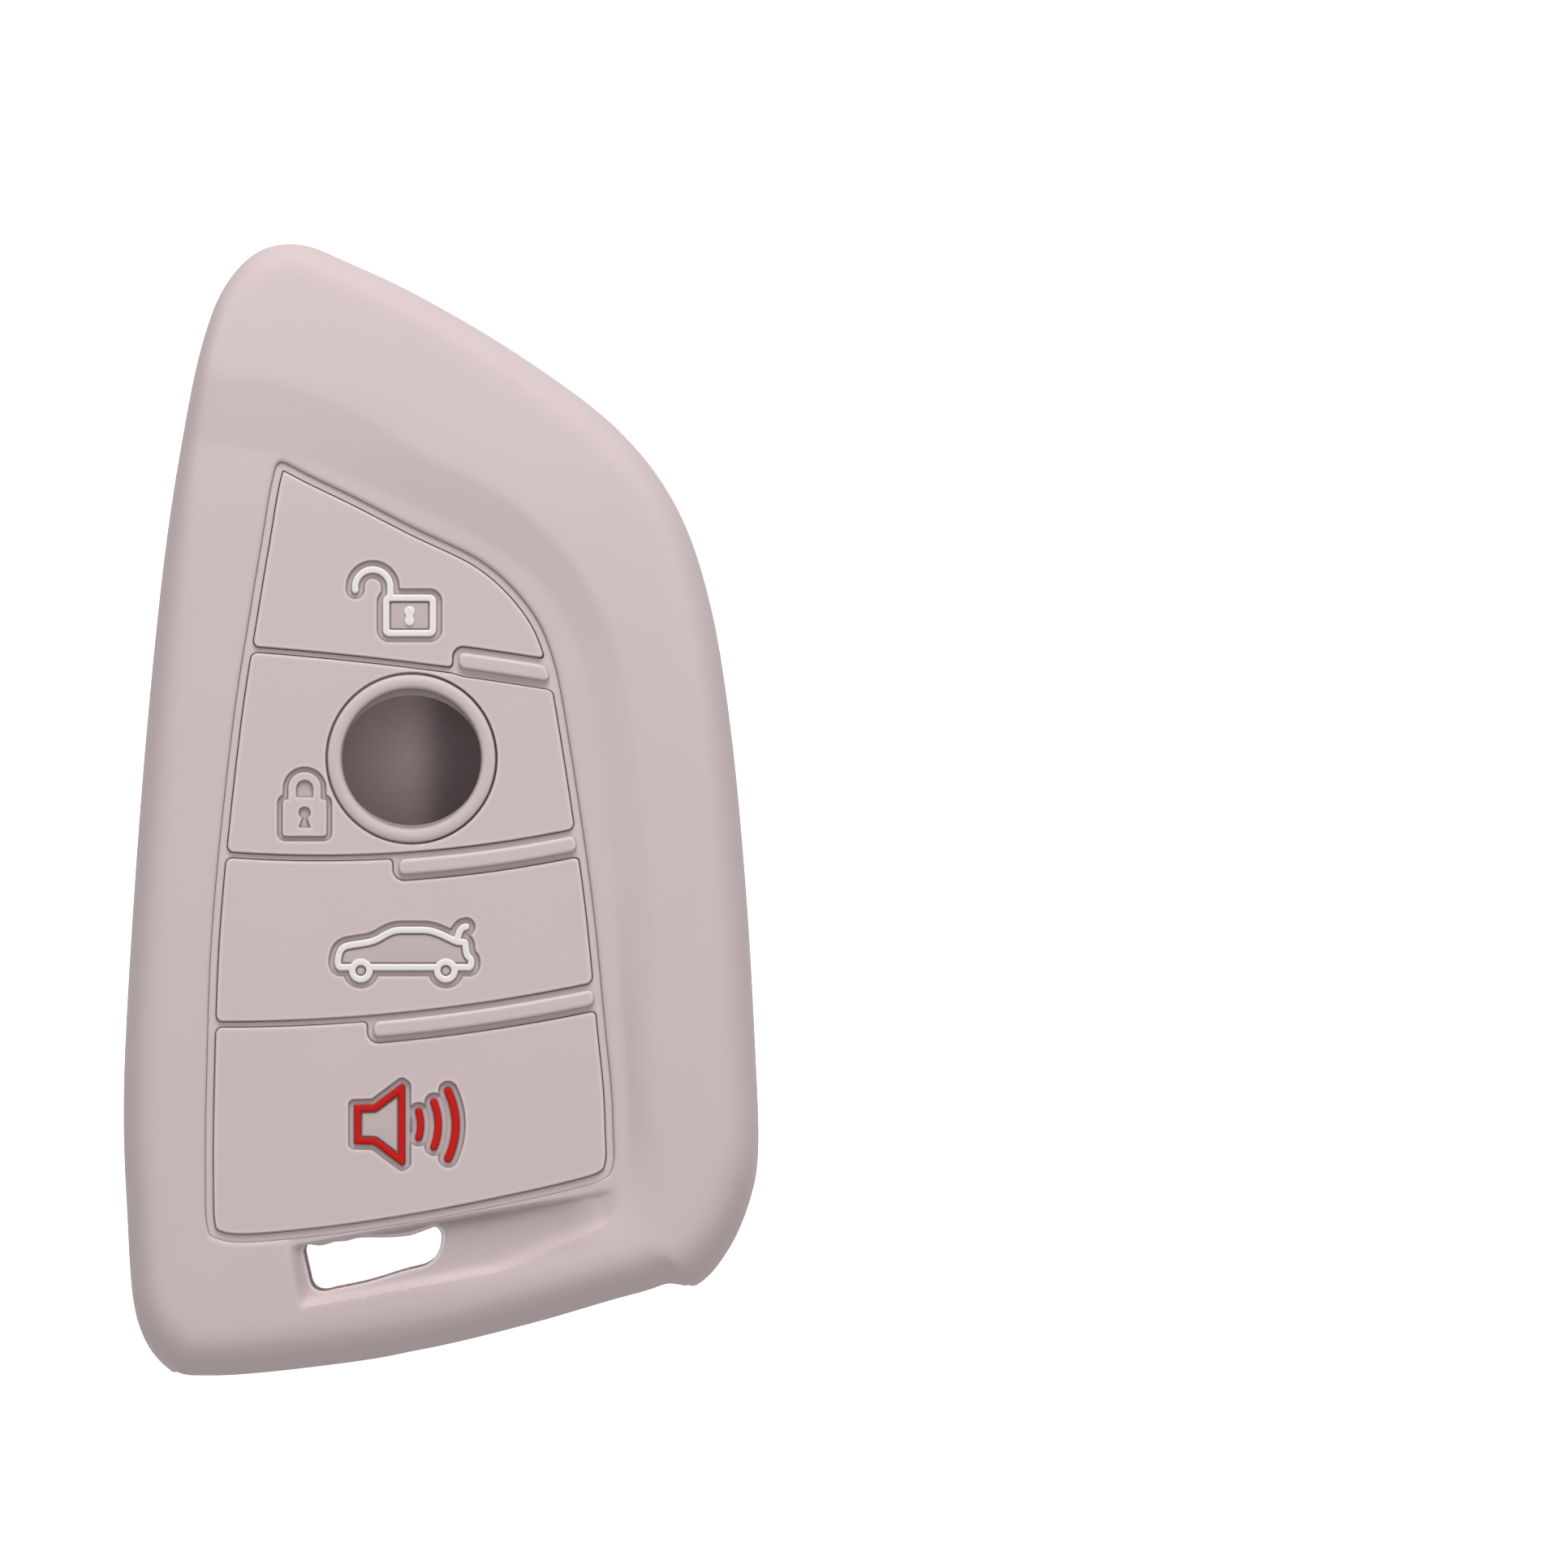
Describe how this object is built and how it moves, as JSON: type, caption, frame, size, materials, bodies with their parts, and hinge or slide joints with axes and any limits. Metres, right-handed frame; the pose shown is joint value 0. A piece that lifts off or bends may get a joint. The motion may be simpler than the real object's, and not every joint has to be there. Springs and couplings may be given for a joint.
{
  "type": "key fob cover",
  "caption": "Moulded silicone key fob cover with raised rim, pressable button pads, a round badge window, a key-ring slot and an open mouth at the wide end.",
  "frame": {"origin": "middle of the bounding box, on the flat face that the cover rests on", "axes": "+Z out of the button panel, +Y to the narrow closed tip, -Y out of the open mouth, +X to the side with the wide rim and the raised bars"},
  "size_m": [0.0496, 0.0885, 0.018],
  "materials": {
    "silicone_mauve": "matte moulded silicone, pale mauve pink",
    "silicone_white": "matte silicone inlay, warm white",
    "silicone_red": "matte silicone inlay, red"
  },
  "bodies": {
    "sleeve": {"sleeve": "silicone_mauve", "button_web": "silicone_mauve", "upper_bar": "silicone_mauve", "middle_bar": "silicone_mauve", "lower_bar": "silicone_mauve"},
    "unlock_button": {"unlock_pad": "silicone_mauve", "unlock_symbol": "silicone_white", "unlock_keyhole": "silicone_white"},
    "lock_button": {"lock_pad": "silicone_mauve", "badge_collar": "silicone_mauve"},
    "trunk_button": {"trunk_pad": "silicone_mauve", "trunk_symbol": "silicone_white"},
    "panic_button": {"panic_pad": "silicone_mauve", "horn_symbol": "silicone_red", "sound_waves": "silicone_red"}
  },
  "joints": [
    {"name": "unlock_press", "type": "slide", "parent": "sleeve", "child": "unlock_button", "axis": [0, 0, -1], "range_m": [0, 0.0008], "stiffness_N_per_m": 800},
    {"name": "lock_press", "type": "slide", "parent": "sleeve", "child": "lock_button", "axis": [0, 0, -1], "range_m": [0, 0.0008], "stiffness_N_per_m": 800},
    {"name": "trunk_press", "type": "slide", "parent": "sleeve", "child": "trunk_button", "axis": [0, 0, -1], "range_m": [0, 0.0008], "stiffness_N_per_m": 800},
    {"name": "panic_press", "type": "slide", "parent": "sleeve", "child": "panic_button", "axis": [0, 0, -1], "range_m": [0, 0.0008], "stiffness_N_per_m": 800}
  ]
}
